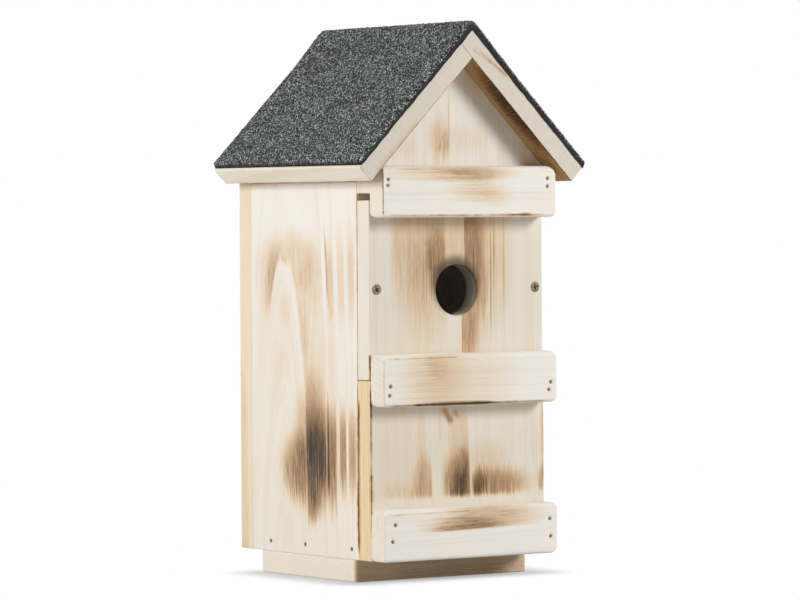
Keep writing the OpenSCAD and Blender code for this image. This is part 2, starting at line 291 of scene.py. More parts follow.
def fill_points(loops, step, dents):
    """Points for a cap between loops: a grid a step apart, and rings round the dimples' middles."""
    low, high = loops[0].min(0), loops[0].max(0)
    grid = np.stack(np.meshgrid(np.arange(low[0] + step / 2, high[0], step),
                                np.arange(low[1] + step / 2, high[1], step)), -1).reshape(-1, 2)
    extra = []
    for x, y, reach, _ in dents:
        grid = grid[np.hypot(grid[:, 0] - x, grid[:, 1] - y) > reach * 1.3]
        extra.append(np.array([[x, y]]))
        extra += [circle((x, y), reach * share, 12) for share in (0.3, 0.55, 0.75, 1.0)]
    points = np.concatenate([grid] + extra)
    points = points[between(points, loops)]
    for loop in loops:
        finder = finder_of(loop)
        gaps = np.array([finder.find((x, y, 0.0))[2] for x, y in points])
        points = points[gaps > 0.45 * min(step, 1.5)]
    return points


class Solid:
    """Closed mesh of rings and caps. A point is two places in the outline's plane and a depth below it."""

    def __init__(self):
        self.points, self.faces = [], []

    def ring(self, loop, depth):
        start = len(self.points)
        self.points += [tuple(p) for p in np.column_stack([loop, np.broadcast_to(depth, len(loop))])]
        return list(range(start, len(self.points)))

    def wall(self, near, far, inwards=False):
        for i in range(len(near)):
            j = (i + 1) % len(near)
            face = (near[i], near[j], far[j], far[i])
            self.faces.append(face[::-1] if inwards else face)

    def cap(self, border, holes, depth, facing_out, step, dents=()):
        """Fills between a border ring and hole rings. A dent is two places, a reach and a depth."""
        plane = np.array(self.points)
        rings = [border] + holes
        loops = [plane[ring][:, :2] for ring in rings]
        inner = fill_points(loops, step, dents)
        drop = np.zeros(len(inner))
        for x, y, reach, deep in dents:
            share = np.clip(1 - np.hypot(inner[:, 0] - x, inner[:, 1] - y) / reach, 0, 1)
            drop = np.maximum(drop, deep * share * share * (3 - 2 * share))
        known = sum(rings, []) + self.ring(inner, depth + drop)
        edges, start = [], 0
        for loop in loops:
            edges += [(start + i, start + (i + 1) % len(loop)) for i in range(len(loop))]
            start += len(loop)
        flat = [Vector(p) for p in np.concatenate(loops + [inner])]
        places, _, triangles, sources, *_ = delaunay_2d_cdt(flat, edges, [], 0, 1e-7, True)
        places, triangles = np.array([tuple(p) for p in places]), np.array(triangles)
        for triangle in triangles[between(places[triangles].mean(1), loops)]:
            a, b, c = places[triangle]
            order = [known[sources[i][0]] for i in triangle]
            upward = (b[0] - a[0]) * (c[1] - a[1]) - (b[1] - a[1]) * (c[0] - a[0]) > 0
            if len(set(order)) == 3:
                self.faces.append(tuple(order[::-1] if upward == facing_out else order))

    def sink(self, ring, rings, nested, step, back_rings):
        """Walls of a hole from its first ring down, closed by a floor unless it goes through."""
        for loop, depth in rings[1:]:
            lower = self.ring(loop, depth)
            self.wall(ring, lower, inwards=True)
            ring = lower
        if nested is None:
            back_rings.append(ring)
            return
        mouths = [self.ring(*inner[0][0]) for inner in nested]
        self.cap(ring, mouths, rings[-1][1], True, step)
        for mouth, inner in zip(mouths, nested):
            self.sink(mouth, *inner, step, back_rings)


def block(loop, rows, holes=(), dents=(), step=4.0):
    """Solid from a loop and rows of (inset, depth), with holes of (rings, what is in their floor or None)."""
    made = Solid()
    rings = [made.ring(inset(loop, gap), depth) for gap, depth in rows]
    for near, far in zip(rings, rings[1:]):
        made.wall(near, far)
    mouths = [made.ring(*hole[0][0]) for hole in holes]
    made.cap(rings[0], mouths, rows[0][1], True, step, dents)
    back_rings = []
    for mouth, hole in zip(mouths, holes):
        made.sink(mouth, *hole, step, back_rings)
    made.cap(rings[-1], back_rings, rows[-1][1], False, step)
    return np.array(made.points, float), made.faces


def eased(loop, thick, front, back, wear=0.5, seed=0.0, step=4.0, corner=0.5):
    """Rows of a board whose front and back edges are eased by an amount that wanders along them."""
    side = np.roll(loop, -1, 0) - loop
    side /= np.linalg.norm(side, axis=1)[:, None]
    bent = (side * np.roll(side, 1, 0)).sum(1) < 0.999

    def rough(scale, shift):
        return np.array([noise.noise(Vector((x * scale, y * scale, seed + shift))) for x, y in loop])

    def along(amount, shift):
        chips = np.clip(rough(0.5, shift + 7.0) - 0.25, 0, 1)
        amounts = amount * (1 + wear * rough(0.11, shift) + wear * 1.6 * chips)
        return np.where(bent, np.minimum(amounts, corner), amounts)

    near, far = along(front, 3.1), along(back, 11.7)
    angles = np.radians([0, 30, 60, 90])
    low, high = near.max() + 0.4, thick - far.max() - 0.4
    rows = [(near + 0.15, 0.0)]
    rows += [(near * (1 - math.sin(a)), near * (1 - math.cos(a))) for a in angles]
    rows += [(0.0, depth) for depth in np.linspace(low, high, max(2, round((high - low) / step) + 1))]
    rows += [(far * (1 - math.sin(a)), thick - far * (1 - math.cos(a))) for a in angles[::-1]]
    return rows + [(far + 0.15, thick)]


def stand(solid, origin, across, up, into):
    """The solid set with its outline's two directions and its depth along the given ones."""
    points, faces = solid
    return np.array(origin, float) + points @ np.array([across, up, into], float), faces


def piece(name, parts, material, body, node, bend=40.0):
    """One named mesh object in metres, from solids in millimetres, that stands for a node.

    Edges at which its surface bends by more than the given degrees stay sharp.
    """
    points, faces, start = [], [], 0
    for local, polygons in parts:
        corners = np.array([[local[i] for i in face[:3]] for face in polygons]) - local.mean(0)
        volume = np.einsum("ij,ij->i", corners[:, 0], np.cross(corners[:, 1], corners[:, 2])).sum()
        faces += [tuple(i + start for i in (face if volume > 0 else face[::-1])) for face in polygons]
        points.append(local)
        start += len(local)
    mesh = bpy.data.meshes.new(name)
    mesh.from_pydata((np.concatenate(points) * 0.001).tolist(), [], faces)
    mesh.polygons.foreach_set("use_smooth", [True] * len(faces))
    mesh.set_sharp_from_angle(angle=math.radians(bend))
    mesh.materials.append(material)
    made = bpy.data.objects.new(name, mesh)
    bpy.context.scene.collection.objects.link(made)
    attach(made, body)
    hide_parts(node)
    return made


def tone(*shade):
    """Linear colour of a shade that is given in 256 steps."""
    return tuple(c / 255 / 12.92 if c < 10.3 else ((c / 255 + 0.055) / 1.055) ** 2.4 for c in shade)


# The second whitewash is slightly darker; the front panel and the lower front board carry it.
WHITEWASH, FRONT_WHITEWASH = tone(243, 238, 229), tone(237, 230, 218)
CREAM, LATEWOOD = tone(232, 213, 182), tone(205, 176, 136)
BARE_PINE, BARE_LATE = tone(238, 216, 176), tone(222, 188, 138)
UNDERSIDE, UNDERSIDE_STREAK = tone(196, 168, 126), tone(160, 126, 82)
# Soot colours on the shown face and deeper in. The base plate's painted shade and the entrance wall's dark
# olive use them too.
SOOT_AND_SHADE_OFF_FACE, SOOT_AND_SHADE_ON_FACE = tone(62, 46, 8), tone(52, 40, 36)
# Darkening ramp: the colours of scorches, also used for painted shade.
CHAR_AND_SHADE = ((0.1, (0.955, 0.865, 0.75)), (0.2, (0.86, 0.7, 0.54)), (0.35, (0.64, 0.46, 0.31)),
        (0.5, (0.45, 0.3, 0.185)), (0.75, (0.18, 0.12, 0.075)))
BURNT = (0.055, 0.043, 0.036)
MARKED_TO, CLEAN_FROM = 1.2, 3.0


class Grain:
    """Growth rings round a pith line, with fibres and streaks that follow it.

    ways are the board's directions across, in depth and along, and face is the depth of its shown face. The
    pith lies at a place across and at a depth below the face, both at the origin's height, and tilts along
    the board. ring is the rings' spacing.
    """

    def __init__(self, nodes, ways, face, pith, tilt, ring, seed):
        self.nodes, self.pith, self.tilt, self.seed = nodes, pith, tilt, seed
        self.place = nodes.vector("SCALE", nodes.add("TexCoord").outputs["Object"], 1000.0)
        self.across, self.depth, self.along = (nodes.vector("DOT_PRODUCT", self.place, way) for way in ways)
        wander = nodes.plus(nodes.swing(self.noise((0.02, 0.02, 0.006), 1.0), 3.0),
                            nodes.swing(self.noise((0.12, 0.12, 0.02), 2.0), 1.2))
        sideways = nodes.minus(nodes.minus(self.across, pith[0]), nodes.times(self.along, tilt[0]))
        sideways = nodes.plus(sideways, wander)
        below = nodes.minus(nodes.minus(self.depth, face + pith[1]), nodes.times(self.along, tilt[1]))
        radius = nodes.vector("LENGTH", nodes.combined(sideways, below))
        self.sided = nodes.times(radius, nodes.calc("SIGN", sideways))
        turn = nodes.calc("FRACT", nodes.scaled(self.stripes(0.1, 1.0), 4.0, nodes.times(radius, 1 / ring)))
        self.latewood = nodes.times(nodes.span(turn, 0.3, 0.9), nodes.span(turn, 1.0, 0.94))
        self.fine_stripes = self.stripes(0.9, 50.0, 2.0)
        self.fibre = self.noise((1.9, 1.9, 0.16), 3.0, 0.65)
        self.streak = self.noise((0.6, 0.6, 0.04), 2.0, 0.6)

    def noise(self, scales, detail, roughness=0.5):
        """Noise with its own scale across, in depth and along, from nought to one."""
        spread = self.nodes.combined(self.across, self.depth, self.nodes.plus(self.along, self.seed * 170.0))
        return self.nodes.add("TexNoise", {
            "Vector": self.nodes.vector("MULTIPLY", spread, scales), "Scale": 1.0, "Detail": detail,
            "Roughness": roughness}, noise_dimensions="3D").outputs["Fac"]

    def stripes(self, scale, shift, detail=1.0):
        """Noise that runs with the rings."""
        where = self.nodes.scaled(self.sided, scale, self.seed * 3.7 + shift)
        return self.nodes.add("TexNoise", {"W": where, "Scale": 1.0, "Detail": detail},
                              noise_dimensions="1D").outputs["Fac"]

    def signed(self, x, y):
        """Radius of the ring at a place across and along the face, below nought left of the pith."""
        gap = x - self.pith[0] - self.tilt[0] * y
        return math.copysign(math.hypot(gap, self.pith[1] + self.tilt[1] * y), gap)


def painted(nodes, grain, paint, lines, cream):
    """Whitewash through which the wood's bands and latewood lines show."""
    cloud = grain.noise((0.035, 0.035, 0.014), 2.0)
    bands = nodes.plus(nodes.swing(grain.stripes(0.16, 20.0, 2.0), 1.4), cloud)
    banded = nodes.plus(nodes.times(nodes.span(bands, 0.35, 0.95), cream),
                        nodes.swing(grain.fine_stripes, 0.3), nodes.swing(grain.fibre, 0.3))
    ringed = nodes.plus(nodes.times(grain.latewood, nodes.scaled(cloud, lines * 1.6, lines * 0.2)),
                        nodes.swing(grain.streak, lines * 1.6))
    return nodes.blend(nodes.clamped(ringed), nodes.blend(nodes.clamped(banded), paint, CREAM), LATEWOOD)


def scorch_and_shade_darkening(nodes, grain, scorches, spots, ends):
    """Darkening of scorches and of patches of painted shade, with their cuts, and of spots. ends keeps it
    between two places along the board.
    """
    ragged = nodes.plus(grain.along, nodes.swing(grain.streak, 14.0), nodes.swing(grain.fine_stripes, 9.0))
    fibrous = nodes.combined(nodes.plus(grain.across, nodes.swing(grain.fibre, 1.5)), ragged)
    steady = nodes.combined(nodes.plus(grain.across, nodes.swing(grain.fibre, 0.5)),
                            nodes.plus(grain.along, nodes.swing(grain.streak, 2.0)))
    edge = nodes.plus(grain.sided, nodes.swing(grain.fibre, 0.35))
    darkening = 0.0
    for (x, y), reach, strength, *cut in scorches:
        gap = nodes.vector("SUBTRACT", steady if min(reach) < 3 else fibrous, (x, y, 0.0))
        gap = nodes.vector("LENGTH", nodes.vector("MULTIPLY", gap, (1 / reach[0], 1 / reach[1], 0.0)))
        mask = nodes.span(gap, 1.0, 0.2)
        for x0, x1, soft0, soft1 in cut:
            low, high = grain.signed(x0, y), grain.signed(x1, y)
            mask = nodes.times(mask, nodes.span(edge, low - soft0 / 2, low + soft0 / 2),
                               nodes.span(edge, high + soft1 / 2, high - soft1 / 2))
        darkening = nodes.scaled(mask, strength, darkening)
    for x, y, inner, outer, strength in spots:
        gap = nodes.vector("DISTANCE", nodes.combined(grain.across, grain.along), (x, y, 0.0))
        darkening = nodes.scaled(nodes.span(gap, outer, inner), strength, darkening)
    if ends:
        y0, y1, soft = ends
        where = nodes.plus(grain.along, nodes.times(nodes.minus(ragged, grain.along), 0.1))
        darkening = nodes.times(darkening, nodes.span(where, y0 - soft / 2, y0 + soft / 2),
                           nodes.span(where, y1 + soft / 2, y1 - soft / 2))
    return darkening


def burn_and_shade_darkening(nodes, grain, burns, darkening):
    """Adds the darkening of burnt lines and of lines of painted shade, patchy and with tapered ends."""
    rough = grain.noise((0.1, 0.1, 0.1), 3.0, 0.6)
    patchy = nodes.scaled(nodes.span(grain.noise((0.05, 0.05, 0.05), 1.0), 0.35, 0.6), 0.55, 0.45)
    for start, end, reach, strength in burns:
        way = Vector(end) - Vector(start)
        gap = nodes.vector("SUBTRACT", grain.place, start)
        share = nodes.clamped(nodes.vector("DOT_PRODUCT", gap, way / way.length_squared))
        gap = nodes.plus(nodes.vector("DISTANCE", gap, nodes.vector("SCALE", way, share)),
                         nodes.swing(grain.fibre, min(reach, 1.5) * 0.6),
                         nodes.swing(rough, min(reach * 1.5, 3.0)))
        mask = nodes.times(nodes.span(gap, reach, 0.0), patchy,
                           nodes.span(share, 0.0, 0.08), nodes.span(share, 1.0, 0.92))
        darkening = nodes.scaled(mask, strength, darkening)
    return darkening


def wood(name, ways, face, pith, tilt=(0.0, 0.0), ring=3.4, paint=WHITEWASH, lines=0.1, cream=0.35,
         scorches=(), spots=(), burns=(), soot_and_shade=(), bare=None, under=None, ends=None, streaks=1.0, seed=0.0):
    """Whitewashed pine, scorched with a torch, with painted shade in some places. Grain says what ways, face,
    pith, tilt and ring are.

    lines and cream are the strength of the latewood lines and of the bands that show through the paint.
    Scorches and patches of painted shade each have a middle and a reach, across and along the grain, a
    darkening
    and perhaps a cut: two limits that run with the rings and the widths over which they fade. A spot is
    (across, along, inner radius, outer radius, darkening); knots and the painted shade in nail dents are
    spots. Soot lies on the same terms, and painted shade can be given with it. Burnt lines and lines of
    painted shade are (start, end, reach, darkening) and follow lines in space. bare is (direction, share) for
    faces without whitewash, perhaps with two colours, and under has the scorches of a bare underside. ends
    keeps the scorches, the patches of painted shade and the spots between two places along the board.
    """
    material = bpy.data.materials.new(name)
    nodes = Graph(material)
    grain = Grain(nodes, ways, face, pith, tilt, ring, seed)
    normal = nodes.add("TexCoord").outputs["Normal"]
    colour = painted(nodes, grain, paint, lines, cream)
    if bare:
        way, share, *shades = bare
        facing = nodes.calc("ABSOLUTE", nodes.vector("DOT_PRODUCT", normal, way))
        raw_wood = nodes.blend(nodes.scaled(grain.latewood, 0.5, nodes.swing(grain.streak, 0.8)),
                               *(shades or (BARE_PINE, BARE_LATE)))
        colour = nodes.blend(nodes.times(nodes.span(facing, 0.75, 0.95), share), colour, raw_wood)
    skin = nodes.span(nodes.calc("ABSOLUTE", nodes.minus(grain.depth, face)), CLEAN_FROM, MARKED_TO)
    darkening = nodes.times(scorch_and_shade_darkening(nodes, grain, scorches, spots, ends), skin)
    if under:
        underside = nodes.span(nodes.vector("DOT_PRODUCT", normal, ways[1]), -0.5, -0.8)
        raw_wood = nodes.blend(nodes.scaled(grain.streak, 0.6, nodes.swing(grain.fibre, 0.5)),
                               UNDERSIDE, UNDERSIDE_STREAK)
        colour = nodes.blend(underside, colour, raw_wood)
        darkening = nodes.scaled(scorch_and_shade_darkening(nodes, grain, under, (), ends), underside, darkening)
    streaky = nodes.plus(nodes.swing(grain.streak, streaks), nodes.swing(grain.fibre, streaks * 1.1),
                         nodes.swing(grain.fine_stripes, streaks * 0.6), 1.0)
    darkening = nodes.times(darkening, streaky)
    darkening = nodes.clamped(burn_and_shade_darkening(nodes, grain, burns, darkening))
    colour = nodes.blend(1.0, colour, nodes.ramp(darkening, (1.0, 1.0, 1.0), BURNT, CHAR_AND_SHADE), "MULTIPLY")
    # Soot, and painted shade given on its terms, darkens towards the soot colours.
    for x, y, inner, outer, strength in soot_and_shade:
        gap = nodes.vector("DISTANCE", nodes.combined(grain.across, grain.along), (x, y, 0.0))
        gap = nodes.plus(gap, nodes.swing(grain.streak, 1.5))
        cover = nodes.times(nodes.span(gap, outer, inner), strength, nodes.scaled(skin, 0.08, 0.92))
        colour = nodes.blend(cover, colour, nodes.blend(skin, SOOT_AND_SHADE_OFF_FACE, SOOT_AND_SHADE_ON_FACE))
    height = nodes.plus(nodes.times(grain.fibre, 0.7), nodes.times(grain.latewood, 0.3))
    nodes.surface(colour, nodes.scaled(grain.fibre, 0.2, 0.66), height, 0.3, 0.0004, specular=0.3)
    return material


def nail_dent_shade(places):
    """Faint painted shade in the dents round the nails, at places across and along a board."""
    return [(x, y, 1.3, 1.9, 0.15) for x, y in places]


left_scorches = [
    ((47, 190), (24, 32), 0.22, (42, 48.5, 0.8, 6)),
    ((52, 186), (16, 34), 0.08),
    ((42, 198), (24, 22), 0.08, (37.3, 75, 0.8, 8)),
    ((28, 210), (28, 14), 0.07),
    ((6, 62), (100, 130), 0.045),
    ((38, 160), (30, 60), 0.05),
    ((0, 138), (24, 50), 0.08, (-15.5, 9.5, 4, 0.6)),
    ((14, 198), (28, 25), 0.13, (-25, 24.8, 4, 1)),
    ((31, 203), (9, 8), 0.12, (29.1, 32.7, 1, 0.8)),
    ((10, 168), (16, 44), 0.13, (5, 15.3, 6, 0.9)),
    ((-2, 188), (18, 36), 0.13, (-11.5, 9, 1.5, 6)),
    ((-16.7, 192), (8, 40), 0.32, (-17.7, -16, 0.6, 0.6)),
    ((-20.5, 188), (14, 34), 0.18, (-24, -17.8, 1.6, 0.8)),
    ((-33, 188), (14, 44), 0.13, (-36.5, -29.5, 2, 2)),
    ((-44.5, 190), (14, 42), 0.14, (-48.5, -41, 2.5, 2)),
    ((-22, 142), (8, 44), 0.08, (-25, -18, 2, 2)),
    ((30, 170), (11, 15), 0.06),
    ((-4, 75), (36, 44), 0.62, (-15.6, 6.4, 1.2, 0.5)),
    ((-5, 74), (22, 26), 0.2, (-15.6, 6.4, 1.2, 0.5)),
    ((0, 104), (26, 36), 0.24, (-15.6, 6.9, 1.2, 0.5)),
    ((0, 46), (14, 18), 0.24, (-15.6, 5.6, 1.2, 0.5)),
    ((-17, 76), (14, 40), 0.4, (-17.8, -15.4, 0.8, 0.8)),
    ((-18.6, 80), (14, 44), 0.72, (-19.5, -17.6, 0.6, 0.6)),
    ((-23, 76), (22, 44), 0.52, (-27.5, -19.3, 1.8, 0.8)),
    ((-30, 78), (12, 34), 0.1, (-31.8, -27.5, 1, 1)),
    ((-35, 80), (14, 38), 0.42, (-38.4, -31.6, 1.4, 1.2)),
    ((-45, 80), (14, 38), 0.32, (-49.5, -41.2, 3, 1.6)),
    ((12, 69), (30, 32), 0.41, (6.6, 75, 0.5, 8)),
    ((8, 94), (17, 34), 0.2, (7.2, 75, 0.5, 8)),
    ((12, 66), (38, 28), 0.07),
]
right_scorches = [
    ((-18, 188), (26, 36), 0.34, (-40, -6, 6, 1.5)),
    ((10, 182), (16, 34), 0.2, (3, 30, 1.5, 6)),
    ((30, 176), (10, 36), 0.16, (26, 36, 2, 3)),
    ((-9, 78), (24, 38), 0.62, (-22, 2, 3, 1)),
    ((8, 72), (26, 30), 0.42, (5, 50, 1, 8)),
    ((-38, 78), (14, 36), 0.28, (-44, -33, 3, 2)),
]
# Along the side board's front edge, at the joint with the front boards: a burnt line with a broad burn beside
# it low down, and a painted joint shadow from the panel up.
left_burns_and_shade = [((-HALF_W, SIDE_Y, 18), (-HALF_W, SIDE_Y, 126), 1.3, 0.85),
              ((-HALF_W, SIDE_Y + 0.2, 30), (-HALF_W, SIDE_Y + 0.2, 110), 2.6, 0.3),
              ((-HALF_W, SIDE_Y, 116), (-HALF_W, SIDE_Y, 254), 0.9, 0.5),
              # These two darken the side board's top just under the left eave.
              ((-HALF_W, 74, 248.8), (-HALF_W, -60, 248.8), 1.1, 0.32),
              ((-HALF_W, 72, 248), (-HALF_W, 36, 248), 4.5, 0.14)]
# Painted shade in the dents round the floor nails' heads.
side_nail_dent_shade = nail_dent_shade(FLOOR_NAILS)
side_woods = {
    -1: wood("left_side_wood", (Y, X, Z), -HALF_W, (35.0, 7.9), (-0.02, 0.116), paint=tone(243, 239, 232),
             lines=0.03, cream=0.25, scorches=left_scorches, spots=side_nail_dent_shade, burns=left_burns_and_shade,
             bare=(Y, 0.9), seed=1.0),
    1: wood("right_side_wood", (Y, X, Z), HALF_W, (-20.0, -18.0), (0.03, -0.05), lines=0.08,
            scorches=right_scorches, spots=side_nail_dent_shade, bare=(Y, 0.9), seed=2.0),
}
for side, name in ((-1, "left"), (1, "right")):
    loop = rectangle(SIDE_Y, WALL_Z, SIDE_Y + SIDE_W, SIDE_TOP)
    points, faces = block(loop, eased(loop, BOARD, 0.5, 0.5, seed=side),
                          dents=[(*nail, *NAIL_DENT) for nail in FLOOR_NAILS])
    points[:, 1] += points[:, 2] * (points[:, 1] - WALL_Z) / (SIDE_TOP - WALL_Z)
    board = piece(name + "_side_board", [stand((points, faces), (side * HALF_W, 0, 0), Y, Z, (-side, 0, 0))],
                  side_woods[side], "case", name + "_side_panel")
    bpy.ops.mesh.primitive_cylinder_add(
        vertices=24, radius=PILOT_R * 0.001, depth=PILOT_L * 0.002, rotation=(math.pi / 2, 0, 0),
        location=(side * SCREW_X * 0.001, SIDE_Y * 0.001, SCREW_Z * 0.001))
    drill = bpy.context.active_object
    pilot = board.modifiers.new("pilot_hole", "BOOLEAN")
    pilot.object, pilot.solver = drill, "EXACT"
    bpy.context.view_layer.update()
    drilled = board.evaluated_get(bpy.context.evaluated_depsgraph_get())
    board.data = bpy.data.meshes.new_from_object(drilled)
    board.modifiers.clear()
    bpy.data.objects.remove(drill)

# Back panel.
# One gabled pine board behind the side boards, nailed to them and to the floor. A shallow recess holds the
# hanger plate flush, with a deeper pocket behind it for a screw's head. The photograph shows its left edge.
BACK_Y, RIDGE_UNDER = 82.5, SIDE_TOP + HALF_W
HANGER_Z, HANGER_SCREW_UP, HANGER_T, POCKET, POCKET_R = 232.0, 24.0, 1.5, 7.0, 6.5
HANGER_HALF_W, HANGER_HALF_H, HANGER_CORNER = 11.0, 31.0, 5.5
KEY_LOW, KEY_HIGH = 225.0, 239.0
BACK_NAILS = [(s * 59.5, z) for s in (-1, 1) for z in (54.0, 139.0, 209.0)] + [(-18.0, 21.0), (18.0, 21.0)]


def gabled(low):
    """Loop of a board across the box that fills the gable, from a height up."""
    return outline([(-HALF_W, SIDE_TOP), (-HALF_W, low), (HALF_W, low), (HALF_W, SIDE_TOP), (0, RIDGE_UNDER)])


def keyhole(low_r, high_r, count=20):
    """Loop round a keyhole's round end and slot, anticlockwise, in the plane of the back."""
    start = math.asin(high_r / low_r) if low_r > high_r else math.pi / 2
    low = np.linspace(math.pi / 2 + start, math.pi * 2.5 - start, count)
    high = np.linspace(0, math.pi, count // 2)
    points = [(math.cos(t) * low_r, KEY_LOW + math.sin(t) * low_r) for t in low]
    points += [(math.cos(t) * high_r, KEY_HIGH + math.sin(t) * high_r) for t in high]
    return np.array(points)


plate_loop = rectangle(-HANGER_HALF_W, HANGER_Z - HANGER_HALF_H, HANGER_HALF_W, HANGER_Z + HANGER_HALF_H,
                       HANGER_CORNER)
pocket_loop = keyhole(POCKET_R, POCKET_R)
back_scorches = [((-26, 96), (26, 40), 0.3, (-44, -12, 8, 1.5)),
                 ((33, 162), (22, 46), 0.24, (22, 50, 1.5, 8)),
                 ((-6, 88), (10, 30), 0.12)]
# The back's spots are painted shade in the nail dents.
back_wood = wood("back_panel_wood", (X, Y, Z), BACK_Y, (10.0, 14.0), (0.02, -0.10), ring=4.2, lines=0.25,
                 cream=0.6, scorches=back_scorches, spots=nail_dent_shade(BACK_NAILS), bare=(X, 0.6), seed=3.0)
pocket = ([(pocket_loop, HANGER_T), (pocket_loop, HANGER_T + POCKET)], [])
recess = ([(plate_loop, 0.0), (plate_loop, HANGER_T)], [pocket])
back_loop = gabled(WALL_Z)
back = block(back_loop, eased(back_loop, BOARD, 0.5, 0.5, seed=5.0), [recess],
             [(*nail, *NAIL_DENT) for nail in BACK_NAILS])
piece("back_board", [stand(back, (0, BACK_Y, 0), X, Z, INTO_BACK)], back_wood, "case", "back_panel")

# Floor and base plate.
# The floor lies between the walls, nailed through them. The base plate is screwed on from below, stepped in
# from the walls at the front and the back, and the box stands on it.
FLOOR_HALF, FLOOR_TOP = 52.5, 28.0
BASE_HALF, BASE_FRONT, BASE_BACK = 65.5, -46.5, 59.5
BASE_SCREWS = [(s * 45.5, y) for s in (-1, 1) for y in (-26.5, 39.5)]
SEAT_R, SEAT_H, SHANK_R = 3.35, 1.6, 1.8

inner_wood = wood("floor_wood", (X, Z, Y), FLOOR_TOP, (12.0, -30.0), (0.05, 0.0), ring=3.8, lines=0.5,
                  cream=1.0, bare=(Z, 0.9), seed=4.0)
floor_loop = rectangle(-FLOOR_HALF, SIDE_Y, FLOOR_HALF, SIDE_Y + SIDE_W)
floor_block = block(floor_loop, eased(floor_loop, BOARD, 0.4, 0.4, seed=8.0))
piece("floor_boarding", [stand(floor_block, (0, 0, FLOOR_TOP), X, Y, (0, 0, -1))], inner_wood, "case",
      "floor_board")
# Painted shade: the broad scorch darkens the base plate's front where the lowest slat shades it, and the soot
# layer darkens the whole plate a little as painted shade too.
base_wood = wood("base_plate_wood", (Z, Y, X), BASE_FRONT, (-10.0, 26.0), (0.02, 0.0), ring=3.2,
                 paint=tone(240, 232, 220), cream=0.12, scorches=[((7, 0), (60, 400), 0.21)],
                 soot_and_shade=[(7, 0, 62, 66, 0.2)], seed=5.0)
base_loop = rectangle(-BASE_HALF, BASE_FRONT, BASE_HALF, BASE_BACK)
base_holes = [([(circle(p, SEAT_R), 0.0), (circle(p, SHANK_R), SEAT_H), (circle(p, SHANK_R), BOARD)], None)
              for p in BASE_SCREWS]
base_block = block(base_loop, eased(base_loop, BOARD, 0.6, 0.6, seed=9.0), base_holes)
piece("base_boarding", [stand(base_block, (0, 0, 0), X, Y, Z)], base_wood, "case", "base_plate")

# Gable board and lower front panel.
# The two fixed front boards, flush with each other and nailed to the side boards through the slats.
FRONT_Y, GABLE_LOW, LOWER_TOP = -65.5, 241.1, 125.5

gable_scorches = [((-13, 275), (14, 20), 0.17, (-26, -6.3, 6, 0.8)),
                  ((-9, 271), (7, 10), 0.1, (-20, -6.3, 6, 0.8)),
                  ((6, 275), (26, 12), 0.08),
                  ((-40, 270), (16, 10), 0.08),
                  ((-6.2, 284), (1, 34), 0.16)]
# Painted shade: a broad brown darkening along the right slope, where the right roof board casts its shadow on
# the gable.
gable_painted_shade = [((4, FRONT_Y, RIDGE_UNDER - 4), (HALF_W, FRONT_Y, SIDE_TOP), 15, 0.16)]
gable_wood = wood("gable_wood", (X, Y, Z), FRONT_Y, (70.0, 30.0), (0.01, 0.0), ring=3.0,
                  scorches=gable_scorches, burns=gable_painted_shade, bare=(X, 0.25), seed=6.0)
gable_loop = gabled(GABLE_LOW)
gable_block = block(gable_loop, eased(gable_loop, BOARD, 0.4, 0.4, seed=12.0))
piece("gable_boarding", [stand(gable_block, (0, FRONT_Y, 0), X, Z, Y)], gable_wood, "case", "gable_board")

lower_scorches = [
    ((0, 60), (18, 27), 0.5, (-13, 8.9, 5, 0.8)),
    ((1, 58), (9, 13), 0.3, (-13, 8.9, 5, 0.8)),
    ((5.5, 72), (5, 20), 0.16, (2, 8.5, 2, 0.8)),
    ((1, 88), (14, 34), 0.15, (-12, 8.3, 5, 0.8)),
    ((15.5, 60), (9, 13), 0.36, (10, 40, 3, 4)),
    ((30, 58), (34, 15), 0.43, (10, 70, 3, 4)),
    ((21, 74), (24, 17), 0.12),
    ((-26, 60), (13, 25), 0.29, (-40, -20.8, 6, 0.7)),
    ((-28, 88), (6, 34), 0.09),
    ((-44, 56), (24, 9), 0.1),
    ((64.5, 60), (5, 12), 0.3),
    ((65.5, 86), (2, 40), 0.18),
    ((-14.5, 100), (2, 24), 0.08),
    ((-46, 84), (26, 60), 0.05),
]
lower_burns = [((-HALF_W, FRONT_Y, 26), (-HALF_W, FRONT_Y, 124), 1.3, 0.62),
               ((-HALF_W, SIDE_Y, 14), (-HALF_W, SIDE_Y, 116), 3.2, 0.85),
               ((-HALF_W, FRONT_Y, 50), (-HALF_W, FRONT_Y, 68), 3.4, 0.3),
               ((-HALF_W, FRONT_Y, 102), (-HALF_W, FRONT_Y, 125), 1.8, 0.4),
               ((-HALF_W, -68, LOWER_TOP), (-HALF_W, -50, LOWER_TOP), 0.9, 0.8)]
knot = [(-11.2 + 0.8 * k, 106.6 - 1.3 * k, 0.0, 4.0, 0.15) for k in range(7)]
knot += [(-2.6 + 0.7 * k, 105.0 - 1.2 * k, 0.0, 2.8, 0.1) for k in range(4)]
knot += [(-4.4, 103.5, 0.0, 2.8, 0.1), (-5.2, 100.0, 0.0, 2.8, 0.12)]
lower_wood = wood("lower_front_wood", (X, Y, Z), FRONT_Y, (-75.0, 26.0), (-0.05, 0.0), ring=3.2, paint=FRONT_WHITEWASH,
                  lines=0.06, scorches=lower_scorches, spots=knot, burns=lower_burns, bare=(X, 0.95),
                  ends=(52.0, 130.0, 5.0), seed=7.0)
lower_loop = rectangle(-HALF_W, WALL_Z, HALF_W, LOWER_TOP)
lower_block = block(lower_loop, eased(lower_loop, BOARD, 0.5, 0.4, seed=13.0))
piece("lower_front_boarding", [stand(lower_block, (0, FRONT_Y, 0), X, Z, Y)], lower_wood, "case",
      "lower_front_panel")

# Front panel.
# A thinner board with the 32 mm entrance, behind the upper and middle slats. Two screws hold it to the side
# boards, and with the screws out it slides sideways for cleaning. Soot darkens the rim of the entrance.
PANEL_Y, PANEL_T, PANEL_LOW, PANEL_TOP, HOLE_Z, HOLE_R = -64.5, 12.7, 125.8, 236.8, 180.8, 16.0

